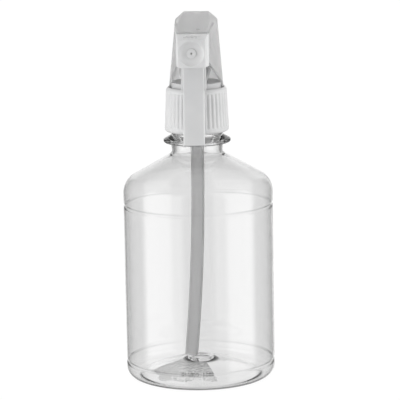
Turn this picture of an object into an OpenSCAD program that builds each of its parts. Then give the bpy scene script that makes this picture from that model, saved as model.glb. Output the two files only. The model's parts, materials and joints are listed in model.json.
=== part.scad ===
// Round clear bottle with a hand trigger sprayer, in millimetres.
// +Z is up, the bottle stands on z = 0 on the Z axis, and the nozzle points along -Y.
// The sprayer is drawn at rest: closure screwed down, trigger forward, valves shut.

/* [Bottle] */
// Outside diameter of the round body
body_d = 73.4; // [62:0.1:88]
// Height at which the straight wall ends and the shoulder begins
shoulder_z = 92.5; // [70:0.5:160]
// Slope of the shoulder above the horizontal
shoulder_slope = 30; // [22:1:45]
// Radius that turns the wall into the shoulder
shoulder_r = 9.5; // [5:0.5:14]
// Outside radius of the heel, where the wall meets the base
heel_r = 5; // [3:0.5:8]
// Wall thickness of the blown body
wall = 0.5; // [0.4:0.05:1.2]
// Thickness of the base over the dome
base_wall = 1.0; // [0.8:0.1:2]
// Width of the flat ring that the bottle stands on
foot_w = 2.2; // [1.5:0.1:4]
// Height of the pushed-up dome
dome_h = 7.7; // [4:0.1:11]
// Depth of the two grooves round the body
groove_depth = 0.6; // [0.4:0.1:1.5]
// Half the height of a groove
groove_half = 1.4; // [0.8:0.1:2.5]
// Distance from the table to the lower groove
lower_groove = 8.3; // [7.6:0.1:14]
// Distance from the shoulder's start down to the upper groove
upper_groove = 5.9; // [3:0.1:12]

/* [Neck] */
// Outside diameter of the neck
neck_d = 25; // [20:0.1:30]
// Wall thickness of the neck
neck_wall = 1.65; // [1.3:0.05:2]
// Radius between the shoulder and the neck
neck_fillet = 2.5; // [1.5:0.1:4]
// Straight neck below the support ring
neck_clear = 3.8; // [2:0.1:8]
// Diameter of the support ring
ring_d = 33; // [28:0.1:40]
// Thickness of the support ring at its edge
ring_t = 1.8; // [1.2:0.1:2.6]
// Height of the neck from the support ring's underside to its mouth
finish_h = 19.8; // [18:0.1:24]
// Pitch of the neck thread
pitch = 4.23; // [4:0.01:4.5]
// Turns of thread on the neck and in the closure
thread_turns = 1.5; // [1:0.25:1.5]
// How far the thread stands out from the neck
thread_h = 1.1; // [0.8:0.1:1.2]

/* [Closure] */
// Wall of the closure outside its thread, at the lower edge
closure_wall = 1.7; // [1.4:0.1:3]
// Height of the closure
closure_h = 21.7; // [20.5:0.1:24]
// How much the closure's radius shrinks from its lower edge to its rim
closure_taper = 0.85; // [0:0.05:1.2]
// Thickness of the closure's deck
deck_t = 1.8; // [1.2:0.1:2.2]
// Number of grip grooves
grip_count = 40; // [24:1:52]
// Radius of a grip groove's cutter
grip_cut_r = 0.75; // [0.5:0.05:0.9]

/* [Sprayer] */
// Height of the spray axis above the closure's deck
spray_rise = 24.85; // [24.4:0.05:30]
// Distance from the bottle's axis to the nozzle's front face
reach = 46; // [44:0.5:56]
// Width of the nozzle cap at its front face
nozzle_front = 13.3; // [12.4:0.1:15]
// Width of the nozzle cap at its rear
nozzle_rear = 15.5; // [14:0.1:17]
// Length of the nozzle cap
nozzle_len = 13.7; // [13.5:0.1:16]
// Diameter of the spray orifice
orifice_d = 0.7; // [0.4:0.1:1.2]
// Bore of the pump cylinder
pump_bore = 12.4; // [10:0.1:13]
// Wall of the pump cylinder
pump_wall = 1.2; // [1:0.1:1.6]
// Distance from the trigger pivot down to the piston's axis
push_arm = 14.5; // [14:0.1:16]
// Travel of the piston at a full squeeze
stroke = 4.05; // [2:0.05:4.2]
// Wall of the shroud
shroud_wall = 1.0; // [0.8:0.1:1.4]
// Width of the flat along the shroud's top, at the rear
shroud_flat = 12; // [9:0.5:15]
// Height of the shroud above the spray axis, at the rear
shroud_rise = 13.3; // [12:0.1:18]

/* [Trigger] */
// Width of the trigger's front face
trigger_w = 10.2; // [9:0.1:12]
// Thickness of the trigger's front plate
trigger_t = 2.2; // [1.6:0.1:2.4]
// Length of the trigger below its pivot
trigger_len = 47.5; // [40:0.5:48]
// Radius of the trigger's curved front face
trigger_curve = 72; // [60:1:110]

/* [Dip tube] */
// Outside diameter of the dip tube
tube_d = 6.4; // [5:0.1:7.8]
// Wall thickness of the dip tube
tube_wall = 0.9; // [0.6:0.1:1.2]
// Gap between the tube's cut end and the dome
tube_gap = 1.4; // [1:0.1:6]
// Sideways bow of the tube at its lower end
tube_bow = 4.5; // [1:0.1:7]

/* [Clearances] */
// Radial clearance of a sliding or turning fit
fit = 0.05; // [0.03:0.01:0.08]
// Gap between faces that lie against each other
seat = 0.05; // [0.02:0.01:0.1]
// Air round parts that pass each other
air = 0.4; // [0.3:0.05:0.6]

/* [Hidden] */
$fn = 64;

clear_pet = "lightcyan";
white_pp = "white";
milky_pp = "whitesmoke";
seal_grey = "gainsboro";
steel = "silver";

// Bottle
body_r = body_d / 2;
neck_r = neck_d / 2;
bore_r = neck_r - neck_wall;
ring_r = ring_d / 2;
foot_r = body_r - heel_r;
foot_in = foot_r - foot_w;
dome_r = (foot_in * foot_in + dome_h * dome_h) / (2 * dome_h);
dome_c = dome_h - dome_r;
normal = 90 - shoulder_slope;
cone_start = [body_r - shoulder_r, shoulder_z] + shoulder_r * [cos(normal), sin(normal)];
fillet_z = cone_start[1]
    + (neck_fillet - (neck_r + neck_fillet - cone_start[0]) * cos(normal)) / sin(normal);
ring_z = fillet_z + neck_clear;
ring_cone = 2;
mouth_z = ring_z + finish_h;

// Thread
thread_root = 2.4;
thread_crest = 1.0;
thread_sink = 0.3;
thread_low = mouth_z - 2.4 - pitch * thread_turns;
closure_bore = neck_r + thread_h + air;

// Stack on the neck, from the mouth up
gasket_t = 1.1;
flange_t = 1.6;
gasket_z = mouth_z + seat;
flange_z = gasket_z + gasket_t + seat;
deck_z = flange_z + flange_t + seat;
deck_top = deck_z + deck_t;
flange_r = closure_bore - air - 0.6;
stem_r = bore_r - 1.65;
stem_clear = 0.35;
gasket_in = bore_r + 0.3;

// Closure
closure_r = closure_bore + closure_wall;
rim_z = deck_top + 2.8;
closure_z = rim_z - closure_h;
rim_r = closure_r - closure_taper;
rim_bevel = 1.3;
crown_r = rim_r - rim_bevel;
edge = 1.2;

// Tube retainer and inlet valve: the ball lifts until it meets the port's rim above it
socket_r = tube_d / 2 + fit + 1.75;
ball_r = 2;
ball_travel = 0.8;
chamber_r = 2.6;
port_r = 1.2;
seat_hole = 1.3;
socket_z = flange_z - 12;
boss_top = flange_z + flange_t + 4.2;
roof_z = boss_top + 0.3;
ball_z = roof_z - sqrt(ball_r * ball_r - port_r * port_r) - ball_travel;
seat_z = ball_z - seat - sqrt(ball_r * ball_r - seat_hole * seat_hole);
air_vent_r = 0.6;
air_vent_y = -7.2;

// Sprayer
spray_z = deck_top + spray_rise;
pivot_y = -22;
pivot_z = spray_z + 2;
pump_z = pivot_z - push_arm;
bore = pump_bore / 2;
pump_r = bore + pump_wall;
barrel_r = 4.2;
barrel_bore = 2;
mouth_y = -16;
pump_end = 2.6;
shoulder_y = -(reach - nozzle_len - 0.8);
boss_r = 5;
boss_bore = 3.4;
boss_front = -(reach - 4);
valve_y = shoulder_y - 2;
trunnion_r = 1.6;
fork_in = barrel_r + 0.2;
fork_t = 1.5;
fork_out = fork_in + fork_t;
collar_r = crown_r - 1.4;
collar_top = deck_top + 5.2;
collar_low = deck_top + seat;

// Piston and trigger
pad_r = 2;
piston_front = pivot_y + pad_r + 0.1;
rod_r = bore - 1.4;
rod_bore = bore - 2.5;
piston_rear = -6.5;
seal_w = 3;
seal_in = bore - 2.2;
vent_w = 2;
vent_rear = -12.5;
vent_port = vent_rear - vent_w / 2;
channel_z = pump_z - bore - 1.3;
curve_y = pivot_y - 7 - trigger_curve;
curve_z = pivot_z - 21.5;
trigger_top = pivot_z - 10.5;
trigger_low = pivot_z - trigger_len;
flank_t = 1.4;
flank_deep = 2;
squeeze = stroke / push_arm * 180 / PI;

// Shroud
front_half = nozzle_rear / 2 - 0.25;
front_top = spray_z + nozzle_rear / 2 + 0.8;
front_low = spray_z - nozzle_rear / 2 + 1.5;
roof_in = front_top - shroud_wall;
rear_top = spray_z + shroud_rise;
rear_y = 12;
tail_y = 20;
side_drop = 2.2;
side_half = 10.4;
skirt_r = collar_r + seat + shroud_wall;
skirt_low = deck_top + seat;

// Dip tube
tube_r = tube_d / 2;
tube_top = seat_z - 1.6;
bend_z = fillet_z - 10;
tube_low = dome_h + base_wall + tube_gap;
bow_r = (pow(bend_z - tube_low, 2) + tube_bow * tube_bow) / (2 * tube_bow);
bow_angle = asin((bend_z - tube_low) / bow_r);

eps = 0.01;

// ---- helpers ----

// Points of an arc in a plane, from angle a0 to angle a1
function arc(centre, r, a0, a1, n = 8) =
    [for (i = [0:n]) let (a = a0 + (a1 - a0) * i / n) centre + r * [cos(a), sin(a)]];

// Even shares of the way from 0 to 1 along a winding of so many turns
function shares(turns, steps) =
    [for (i = [0:ceil(turns * steps)]) i / ceil(turns * steps)];

// One closed solid through a row of rings with equal numbers of points
module swept(rings) {
    m = len(rings[0]);
    n = len(rings);
    sides = [for (i = [0:n - 2]) for (j = [0:m - 1])
        let (k = (j + 1) % m) [i * m + j, i * m + k, (i + 1) * m + k, (i + 1) * m + j]];
    halves = [for (q = sides) each [[q[0], q[1], q[2]], [q[0], q[2], q[3]]]];
    ends = [[for (j = [m - 1:-1:0]) j], [for (j = [0:m - 1]) (n - 1) * m + j]];
    polyhedron(points = [for (ring = rings) each ring], faces = concat(halves, ends));
}

// Right-hand thread of section [radius, height], which fades into root_r at both ends
module thread(section, root_r, steps = 30, fade = 0.12) {
    swept([for (t = shares(thread_turns, steps))
        let (k = max(0.04, min(1, t * thread_turns / fade, (1 - t) * thread_turns / fade)))
        [for (p = section)
            let (r = root_r + (p[0] - root_r) * k, a = 360 * thread_turns * t)
            [r * cos(a), r * sin(a), p[1] + pitch * thread_turns * t]]]);
}

// Coil spring along +Z from z = 0, with a closed turn at each end
module coil(mean_r, wire_r, length, turns, steps, sides) {
    dead = 1;
    live = turns - 2 * dead;
    low = 2 * wire_r * dead;
    function height(n) = n < dead ? 2 * wire_r * n
        : n > turns - dead ? length - 2 * wire_r - 2 * wire_r * (turns - n)
        : low + (length - 2 * wire_r - 2 * low) * (n - dead) / live;
    swept([for (t = shares(turns, steps))
        [for (j = [0:sides - 1])
            let (u = 360 * j / sides, a = 360 * turns * t, r = mean_r + wire_r * cos(u))
            [r * cos(a), r * sin(a), wire_r + height(turns * t) + wire_r * sin(u)]]]);
}

// Lays a shape drawn along +Z so that it runs along +Y from (0, y, z)
module along_y(y, z) {
    translate([0, y, z]) rotate([-90, 0, 0]) children();
}

// A cylinder along Y from y0 to y1 at height z
module rod_y(y0, y1, z, r) {
    along_y(y0, z) cylinder(h = y1 - y0, r = r);
}

// A ring about the Z axis between two radii
module ring(z0, z1, r_out, r_in) {
    translate([0, 0, z0]) difference() {
        cylinder(h = z1 - z0, r = r_out);
        translate([0, 0, -1]) cylinder(h = z1 - z0 + 2, r = r_in);
    }
}

// A ring about the Y axis at height z between two radii
module ring_y(y0, y1, z, r_out, r_in) {
    difference() {
        rod_y(y0, y1, z, r_out);
        rod_y(y0 - 1, y1 + 1, z, r_in);
    }
}

// ---- bottle ----

// A groove round the body at height z, w inside the outer surface
function groove(z, w) = [for (s = [-1, -0.5, 0, 0.5, 1])
    [body_r - w - groove_depth * (1 + cos(180 * s)) / 2, z + groove_half * s]];

// The blown wall from heel to neck, w inside the outer surface at the body and wn at the neck
function wall_line(w, wn) = concat(
    arc([foot_r, heel_r], heel_r - w, -90, 0),
    groove(lower_groove, w),
    groove(shoulder_z - upper_groove, w),
    arc([body_r - shoulder_r, shoulder_z], shoulder_r - w, 0, normal),
    [for (i = [0:8]) [neck_r + neck_fillet, fillet_z]
        + (neck_fillet + w + (wn - w) * i / 8)
        * [cos(180 + normal * (1 - i / 8)), sin(180 + normal * (1 - i / 8))]]);

// Half of the dome's outline at radius r about its own centre, from the axis down to height z
function dome_line(r, z, n = 10) = let (a = acos((z - dome_c) / r))
    [for (i = [0:n]) [r * sin(a * i / n), dome_c + r * cos(a * i / n)]];

function reversed(line) = [for (i = [len(line) - 1:-1:0]) line[i]];

module bottle() {
    outer = concat(
        dome_line(dome_r, 0),
        wall_line(0, 0),
        [[neck_r, ring_z], [ring_r - ring_t / 3, ring_z]],
        arc([ring_r - ring_t / 2, ring_z + ring_t / 2], ring_t / 2, -60, 60, 6),
        [[neck_r, ring_z + ring_t + ring_cone], [neck_r, mouth_z - 0.4],
         [neck_r - 0.4, mouth_z]]);
    inner = concat(
        [[bore_r + 0.3, mouth_z], [bore_r, mouth_z - 0.3]],
        reversed(wall_line(wall, neck_wall)),
        reversed(dome_line(dome_r + base_wall, wall)));
    color(clear_pet) union() {
        rotate_extrude($fn = 96) polygon(concat(outer, inner));
        translate([0, 0, thread_low])
            thread([[neck_r - thread_sink, -thread_root / 2],
                    [neck_r + thread_h, -thread_crest / 2],
                    [neck_r + thread_h, thread_crest / 2],
                    [neck_r - thread_sink, thread_root / 2]], neck_r - thread_sink / 2);
    }
}

// ---- closure and neck stack ----

module neck_gasket() {
    color(seal_grey) ring(gasket_z, gasket_z + gasket_t, flange_r, gasket_in);
}

module closure() {
    grip_low = closure_z + 2.4;
    grip_high = rim_z - rim_bevel - 0.9;
    tilt = atan(closure_taper / (rim_z - closure_z - edge));
    color(white_pp) union() {
        difference() {
            rotate_extrude($fn = 96) polygon(concat(
                [[closure_bore, closure_z]],
                arc([closure_r - edge, closure_z + edge], edge, -90, 0, 5),
                [[rim_r, rim_z - rim_bevel], [crown_r + 0.3, rim_z], [crown_r, rim_z],
                 [crown_r, deck_top], [stem_r + stem_clear, deck_top],
                 [stem_r + stem_clear, deck_z], [closure_bore, deck_z]]));
            for (i = [0:grip_count - 1]) rotate([0, 0, 360 * (i + 0.5) / grip_count])
                translate([closure_r + grip_cut_r * 0.45, 0, closure_z + edge])
                    rotate([0, -tilt, 0])
                        translate([0, 0, grip_low - closure_z - edge])
                            cylinder(h = grip_high - grip_low, r = grip_cut_r, $fn = 24);
        }
        translate([0, 0, thread_low - pitch / 2])
            thread([[closure_bore + thread_sink, thread_root / 2],
                    [neck_r + air, thread_crest / 2],
                    [neck_r + air, -thread_crest / 2],
                    [closure_bore + thread_sink, -thread_root / 2]],
                   closure_bore + thread_sink / 2);
    }
}

module tube_retainer() {
    color(white_pp) difference() {
        union() {
            ring(flange_z, flange_z + flange_t, flange_r, chamber_r);
            ring(flange_z - 7, flange_z + eps, bore_r - fit, bore_r - 1.3);
            translate([0, 0, socket_z]) cylinder(h = boss_top - socket_z, r = socket_r);
        }
        translate([0, 0, socket_z - 1]) cylinder(h = tube_top - socket_z + 1, r = tube_r + fit);
        translate([0, 0, tube_top - eps]) cylinder(h = seat_z - tube_top + 1, r = seat_hole);
        translate([0, 0, seat_z]) cylinder(h = boss_top - seat_z + 1, r = chamber_r);
        translate([0, air_vent_y, flange_z - 1]) cylinder(h = flange_t + 2, r = air_vent_r);
    }
}

module dip_tube() {
    color(milky_pp) union() {
        ring(bend_z - eps, tube_top - seat, tube_r, tube_r - tube_wall);
        translate([-bow_r, 0, bend_z]) rotate([-90, 0, 0])
            rotate_extrude(angle = bow_angle, $fn = 720) translate([bow_r, 0]) difference() {
                circle(r = tube_r, $fn = 48);
                circle(r = tube_r - tube_wall, $fn = 48);
            }
    }
}

module inlet_ball() {
    color(steel) translate([0, 0, ball_z]) sphere(r = ball_r, $fn = 48);
}

// ---- pump ----

module pump_body() {
    color(white_pp) difference() {
        union() {
            translate([0, 0, flange_z + flange_t + seat])
                cylinder(h = collar_top - flange_z - flange_t - seat, r = stem_r);
            translate([0, 0, collar_low])
                cylinder(h = collar_top - collar_low, r = collar_r);
            translate([-5.5, mouth_y, collar_top - 1.6])
                cube([11, pump_end + 2 - mouth_y, pump_z - collar_top + 1.6]);
            rod_y(mouth_y, pump_end + pump_wall, pump_z, pump_r);
            rod_y(shoulder_y, pump_end + pump_wall, spray_z, barrel_r);
            rod_y(boss_front, shoulder_y + 3, spray_z, boss_r);
            translate([-2, -12, pump_z]) cube([4, 14, spray_z - pump_z]);
            for (s = [-1, 1]) translate([s * (barrel_r - 0.7), pivot_y, pivot_z])
                rotate([0, s * 90, 0]) cylinder(h = fork_out - barrel_r + 0.7, r = trunnion_r);
            // rib that holds up the shroud's roof
            translate([-1, -13, spray_z]) cube([2, 12, roof_in + 1.2 - spray_z]);
        }
        // bores: retainer boss, pump cylinder, barrel, nozzle boss
        translate([0, 0, flange_z]) cylinder(h = roof_z - flange_z, r = socket_r + fit);
        rod_y(mouth_y - 1, pump_end, pump_z, bore);
        rod_y(boss_front, pump_end + pump_wall + 1, spray_z, barrel_bore);
        rod_y(boss_front - 1, valve_y, spray_z, boss_bore);
        // inlet port with two side slots that the raised ball can't close, and outlet port
        translate([0, 0, boss_top]) cylinder(h = pump_z - boss_top, r = port_r);
        translate([-chamber_r, -0.4, boss_top]) cube([2 * chamber_r, 0.8, 1.2]);
        translate([0, 0, pump_z]) cylinder(h = spray_z - pump_z, r = port_r);
        // air vent: down from the vent seal, back along a channel, down through the stem
        translate([0, vent_port, channel_z]) cylinder(h = pump_z - channel_z, r = air_vent_r);
        translate([-air_vent_r, vent_port - air_vent_r, channel_z - air_vent_r])
            cube([2 * air_vent_r, air_vent_y - vent_port + 2 * air_vent_r, 2 * air_vent_r]);
        translate([0, air_vent_y, flange_z]) cylinder(h = channel_z - flange_z, r = air_vent_r);
        // groove for the nozzle seal
        ring_y(shoulder_y - 3.6, shoulder_y - 2.6, spray_z, boss_r + 1, boss_r - 0.7);
        // relief under the collar, so that the wall stays even
        ring(collar_low - 1, collar_top - 1.6, collar_r - 1.4, stem_r - eps);
    }
}

module piston() {
    color(white_pp) difference() {
        union() {
            rod_y(piston_front, piston_rear, pump_z, seal_in);
            rod_y(piston_front, piston_rear - seal_w - seat, pump_z, rod_r);
            ring_y(vent_rear - vent_w - 1.2, vent_rear - vent_w - seat, pump_z, bore - 0.3, seal_in);
            ring_y(vent_rear + seat, vent_rear + 1.2, pump_z, bore - 0.3, seal_in);
        }
        ring_y(vent_rear - vent_w - seat, vent_rear + seat, pump_z, rod_r + 1, seal_in);
        rod_y(piston_front + 1.4, piston_rear + 1, pump_z, rod_bore);
    }
}

module piston_seal() {
    color(seal_grey) difference() {
        rod_y(piston_rear - seal_w, piston_rear, pump_z, bore - fit);
        rod_y(piston_rear - seal_w - 1, piston_rear + 1, pump_z, seal_in + eps);
        ring_y(piston_rear - 1.6, piston_rear + 1, pump_z, bore - 0.7, seal_in + 0.7);
    }
}

module vent_seal() {
    color(seal_grey)
        ring_y(vent_rear - vent_w, vent_rear, pump_z, bore - fit, seal_in + eps);
}

module return_spring() {
    start = piston_front + 1.4 + seat;
    color(steel) along_y(start, pump_z)
        coil(mean_r = rod_bore - 0.8, wire_r = 0.4, length = pump_end - seat - start, turns = 8,
             steps = 14, sides = 6);
}

// ---- trigger ----

module trigger() {
    // Front plate with its side flanks, bent along one arc
    module plate(width, deep) {
        intersection() {
            difference() {
                translate([-width / 2, curve_y, curve_z]) rotate([0, 90, 0])
                    cylinder(h = width, r = trigger_curve + deep, $fn = 180);
                translate([-width / 2 - 1, curve_y, curve_z]) rotate([0, 90, 0])
                    cylinder(h = width + 2, r = trigger_curve, $fn = 180);
            }
            translate([-width, curve_y + trigger_curve / 2, trigger_low])
                cube([2 * width, trigger_curve, trigger_top - trigger_low]);
        }
    }
    foot = [curve_y + trigger_curve + 1.2, trigger_top - 4];
    color(white_pp) difference() {
        union() {
            plate(trigger_w, trigger_t);
            for (s = [-1, 1]) translate([s * (trigger_w - flank_t) / 2, 0, 0])
                plate(flank_t, trigger_t + flank_deep);
            // two fork arms up to the trunnions
            for (s = [-1, 1]) translate([s * (fork_in + fork_t / 2), 0, 0])
                rotate([90, 0, 90]) linear_extrude(height = fork_t, center = true)
                    polygon(concat(
                        arc([pivot_y, pivot_z], 3.2, 20, 180, 10),
                        [[pivot_y - 3.2, pivot_z - 6], [foot[0] - 1.4, trigger_top],
                         [foot[0] - 1.4, foot[1] - 8], [foot[0] + 3.0, foot[1] - 8],
                         [pivot_y + 1.5, pump_z + 4], [pivot_y + 3.0, pivot_z - 3]]));
            // bridge and push pad between the arms
            translate([-fork_in - eps, foot[0] - 0.6, pump_z - 1.5])
                cube([2 * fork_in + 2 * eps, pivot_y - foot[0] + 0.6, 3]);
            translate([-4, pivot_y, pump_z]) rotate([0, 90, 0]) cylinder(h = 8, r = pad_r);
        }
        translate([-fork_out - 1, pivot_y, pivot_z]) rotate([0, 90, 0])
            cylinder(h = 2 * fork_out + 2, r = trunnion_r + fit);
    }
}

// ---- outlet and nozzle ----

module outlet_valve() {
    color(seal_grey) union() {
        rod_y(valve_y - 1.2, valve_y - seat, spray_z, 2.7);
        rod_y(valve_y - 2.4, valve_y - 1.1, spray_z, 0.9);
    }
}

module outlet_spring() {
    color(steel) along_y(boss_front + 3.5 + seat, spray_z)
        coil(mean_r = 1.5, wire_r = 0.2, length = valve_y - 1.2 - seat - boss_front - 3.5 - seat,
             turns = 5, steps = 12, sides = 6);
}

module swirl_core() {
    color(white_pp) difference() {
        rod_y(boss_front, boss_front + 3.5, spray_z, boss_bore - fit);
        // two feed slots along the core, and a swirl groove across its front
        for (s = [-1, 1]) translate([s * (boss_bore - 0.5) - 0.5, boss_front - 1, spray_z - 0.5])
            cube([1, 6, 1]);
        translate([-boss_bore, boss_front - 1, spray_z - 0.9]) cube([boss_bore, 1.4, 0.6]);
        translate([0, boss_front - 1, spray_z + 0.3]) cube([boss_bore, 1.4, 0.6]);
    }
}

// Plug that closes the rear end of the moulded barrel
module barrel_plug() {
    rear = pump_end + pump_wall;
    color(white_pp) union() {
        rod_y(port_r + 0.3, rear + 0.5, spray_z, barrel_bore - fit);
        rod_y(rear + seat, rear + 1, spray_z, barrel_bore + 1.2);
    }
}

module nozzle_seal() {
    color(seal_grey) along_y(shoulder_y - 3.1, spray_z)
        rotate_extrude() translate([boss_r - 0.2, 0]) circle(r = 0.42, $fn = 24);
}

module nozzle_cap() {
    front = -reach;
    rear = front + nozzle_len;
    color(white_pp) difference() {
        hull() {
            translate([-nozzle_front / 2, front, spray_z - nozzle_front / 2])
                cube([nozzle_front, eps, nozzle_front]);
            translate([-nozzle_rear / 2, rear - 1.6, spray_z - nozzle_rear / 2])
                cube([nozzle_rear, 1.6, nozzle_rear]);
        }
        rod_y(boss_front - seat, rear + 1, spray_z, boss_r + 0.3);
        along_y(front - eps, spray_z) cylinder(h = 1.8, r1 = 5.8, r2 = 2.9);
        rod_y(front - 1, boss_front + 1, spray_z, 2.3 + fit);
    }
}

module orifice_insert() {
    front = -reach;
    color(white_pp) difference() {
        rod_y(front + 1.1, boss_front - seat, spray_z, 2.3);
        rod_y(front, boss_front + 1, spray_z, orifice_d / 2);
        rod_y(boss_front - seat - 1.2, boss_front + 1, spray_z, 1.3);
        along_y(front + 1.1 - eps, spray_z) cylinder(h = 0.7, r1 = 1.3, r2 = orifice_d / 2);
    }
}

// ---- shroud ----

// The closed outer form of the shroud, drawn in by w on every side
module shroud_form(w) {
    hull() {
        translate([-front_half + w, shoulder_y, front_low + w])
            cube([2 * (front_half - w), 1, front_top - front_low - 2 * w]);
        translate([-shroud_flat / 2 + w * 0.6, rear_y - w, rear_top - w - 0.5])
            cube([shroud_flat - 1.2 * w, eps, 0.5]);
        translate([-side_half + w, 4, rear_top - side_drop - 7])
            cube([2 * (side_half - w), rear_y - 4 - w, 7 - w * 0.6]);
        translate([-side_half + 3 + w, tail_y - w - 1, rear_top - 17])
            cube([2 * (side_half - 3 - w), 1, 8]);
        translate([0, 0, rim_z + air]) cylinder(h = 2, r = skirt_r - w, $fn = 64);
    }
    translate([0, 0, skirt_low - w])
        cylinder(h = rim_z + air + 1 - skirt_low + w, r = skirt_r - w, $fn = 64);
}

module shroud() {
    open_end = [-2, rim_z + 2.15];
    color(milky_pp) difference() {
        shroud_form(0);
        shroud_form(shroud_wall);
        // front face, behind the nozzle
        translate([-front_half + shroud_wall, shoulder_y - 1, front_low - 1])
            cube([2 * (front_half - shroud_wall), 4, roof_in - front_low + 1]);
        // opening below, where the trigger swings
        rotate([90, 0, 90]) linear_extrude(height = 60, center = true)
            polygon([[shoulder_y - 1, front_low - 20], [shoulder_y - 1, front_low - 0.3],
                     [shoulder_y + 2.5, front_low - 0.3], open_end, [open_end[0], front_low - 20]]);
        translate([0, 0, skirt_low - 3]) cylinder(h = 3, r = skirt_r + 1);
    }
}

bottle();
neck_gasket();
closure();
tube_retainer();
dip_tube();
inlet_ball();
pump_body();
piston();
piston_seal();
vent_seal();
return_spring();
trigger();
outlet_valve();
outlet_spring();
swirl_core();
nozzle_seal();
nozzle_cap();
orifice_insert();
barrel_plug();
shroud();
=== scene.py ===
# %% [markdown]
# # A clear spray bottle with a trigger head
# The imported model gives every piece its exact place. This script dresses it: the pieces that
# the eye meets first are modelled again with soft edges and fine detail, and the hidden ones
# keep their solids and get a proper finish. All sizes are in millimetres and become metres
# through MM.

# %% Load the frame
import json
import math

import bpy
from mathutils import Matrix, Vector

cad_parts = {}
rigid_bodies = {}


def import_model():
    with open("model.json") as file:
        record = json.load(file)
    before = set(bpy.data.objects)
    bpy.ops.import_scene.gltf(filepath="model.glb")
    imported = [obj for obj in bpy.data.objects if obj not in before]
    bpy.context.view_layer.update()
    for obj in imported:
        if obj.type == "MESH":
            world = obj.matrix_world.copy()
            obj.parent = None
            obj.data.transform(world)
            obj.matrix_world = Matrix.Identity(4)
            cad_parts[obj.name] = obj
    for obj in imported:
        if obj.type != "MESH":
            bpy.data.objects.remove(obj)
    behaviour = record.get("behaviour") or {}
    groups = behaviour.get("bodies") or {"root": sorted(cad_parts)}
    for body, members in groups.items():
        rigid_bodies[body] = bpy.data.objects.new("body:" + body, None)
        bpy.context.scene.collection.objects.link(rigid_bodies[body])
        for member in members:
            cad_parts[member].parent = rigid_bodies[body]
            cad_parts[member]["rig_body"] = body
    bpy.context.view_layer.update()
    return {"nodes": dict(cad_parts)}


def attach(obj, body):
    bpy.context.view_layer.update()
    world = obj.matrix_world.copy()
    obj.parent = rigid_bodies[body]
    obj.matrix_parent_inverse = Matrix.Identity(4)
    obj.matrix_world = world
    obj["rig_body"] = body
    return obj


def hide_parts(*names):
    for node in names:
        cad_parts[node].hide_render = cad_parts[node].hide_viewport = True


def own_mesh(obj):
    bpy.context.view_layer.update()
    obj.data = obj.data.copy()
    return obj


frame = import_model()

MM = 0.001

# %% [markdown]
# ## The camera
# A long lens from a little above and a step to the right flattens the bottle the way a
# catalogue picture does. The camera is placed by an angle round the bottle, a distance and a
# height, then aimed at the body, and rolled by less than a degree.

# %% Camera
AZIMUTH, REACH, EYE_HEIGHT = 2.6, 1200, 322
AIM_HEIGHT, AIM_SIDE, ROLL = 87.9, 0.9, -0.95
LENS = 223.7


def add_camera():
    a = math.radians(AZIMUTH)
    right = Vector((math.cos(a), math.sin(a), 0))
    eye = Vector((math.sin(a), -math.cos(a), 0)) * REACH + Vector((0, 0, EYE_HEIGHT))
    aim = right * AIM_SIDE + Vector((0, 0, AIM_HEIGHT))
    turn = (eye - aim).to_track_quat("Z", "Y").to_matrix().to_4x4()
    camera = bpy.data.objects.new("camera", bpy.data.cameras.new("camera"))
    bpy.context.scene.collection.objects.link(camera)
    camera.matrix_world = (Matrix.Translation(eye * MM) @ turn
                           @ Matrix.Rotation(math.radians(ROLL), 4, "Z"))
    camera.data.lens, camera.data.sensor_width = LENS, 36
    camera.data.clip_start, camera.data.clip_end = 0.01, 20
    bpy.context.scene.camera = camera
    return camera


camera = add_camera()
print("camera at", [round(v, 3) for v in camera.location])

# %% [markdown]
# ## Tools for modelling by hand
# Every operator works on what is selected, so each helper first clears the selection, then
# picks faces, edges or points by where they are. `turned` draws half an outline with extrude
# and spins it round an axis, as a lathe would; `plate` fills an outline and pulls it thick;
# `tidied` closes the work: doubles merged, faces turned outwards, smooth up to an angle.

# %% Helpers
MODES = {"VERT": (True, False, False), "EDGE": (False, True, False), "FACE": (False, False, True)}
AXES = {"X": Vector((1, 0, 0)), "Y": Vector((0, 1, 0)), "Z": Vector((0, 0, 1))}


def only(obj):
    """Object mode, with this object alone selected."""
    if bpy.context.mode != "OBJECT":
        bpy.ops.object.mode_set(mode="OBJECT")
    bpy.ops.object.select_all(action="DESELECT")
    if obj:
        obj.select_set(True)
        bpy.context.view_layer.objects.active = obj
    return obj


def pick(obj, kind, test):
    """Edit mode, with the points, edges or faces chosen that pass the test. It is given the
    place (the middle of an edge or face) in mm, and the item."""
    only(obj)
    mesh = obj.data
    for group in (mesh.vertices, mesh.edges, mesh.polygons):
        group.foreach_set("select", [False] * len(group))
    if kind == "VERT":
        for v in mesh.vertices:
            v.select = test(v.co / MM, v)
    elif kind == "EDGE":
        for e in mesh.edges:
            a, b = (mesh.vertices[i].co for i in e.vertices)
            e.select = test((a + b) / 2 / MM, e)
    else:
        for f in mesh.polygons:
            f.select = test(f.center / MM, f)
    bpy.context.tool_settings.mesh_select_mode = MODES[kind]
    bpy.ops.object.mode_set(mode="EDIT")


def everything(obj):
    pick(obj, "VERT", lambda p, v: True)


def apply(obj, kind, **settings):
    """Adds a modifier, sets it and applies it."""
    only(obj)
    mod = obj.modifiers.new(kind.lower(), kind)
    for key, value in settings.items():
        setattr(mod, key, value)
    bpy.ops.object.modifier_apply(modifier=mod.name)


def tidied(obj, angle=35, merge=0.001):
    everything(obj)
    if merge:
        bpy.ops.mesh.remove_doubles(threshold=merge * MM)
        bpy.ops.mesh.normals_make_consistent(inside=False)
    only(obj)
    bpy.ops.object.shade_smooth_by_angle(angle=math.radians(angle))
    return obj


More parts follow.
